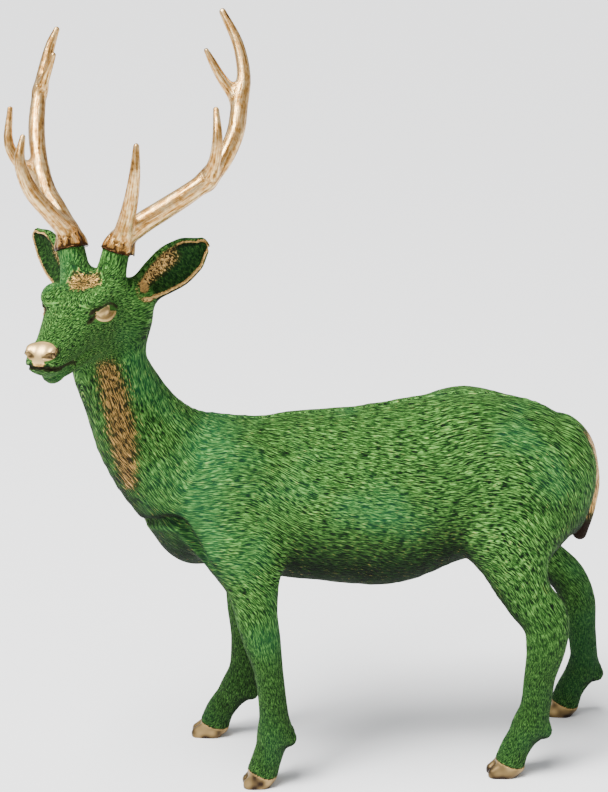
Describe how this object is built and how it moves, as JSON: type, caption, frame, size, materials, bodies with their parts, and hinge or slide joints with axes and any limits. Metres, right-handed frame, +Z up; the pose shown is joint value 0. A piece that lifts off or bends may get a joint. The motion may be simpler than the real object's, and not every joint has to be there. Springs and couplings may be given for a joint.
{
  "type": "deer statue",
  "caption": "Standing stag statue in hollow cast resin, its head turned to one side, carved fur painted green and plug-in antlers painted gold",
  "frame": {"origin": "on the floor under the middle of the whole stag's bounding box", "axes": "+Z up; the body points along -X with the tail at +X; the stag's left side is -Y; the head turns towards -Y"},
  "size_m": [0.5174, 0.2084, 0.6316],
  "materials": {
    "green_paint": "carved fur in cast polyresin, green paint brushed over a darker wash, satin",
    "gold_paint": "cast polyresin painted warm gold, with dark brown left in the grooves"
  },
  "bodies": {
    "root": {"stag_body": "green_paint", "antler_left": "gold_paint", "antler_right": "gold_paint"}
  },
  "joints": []
}
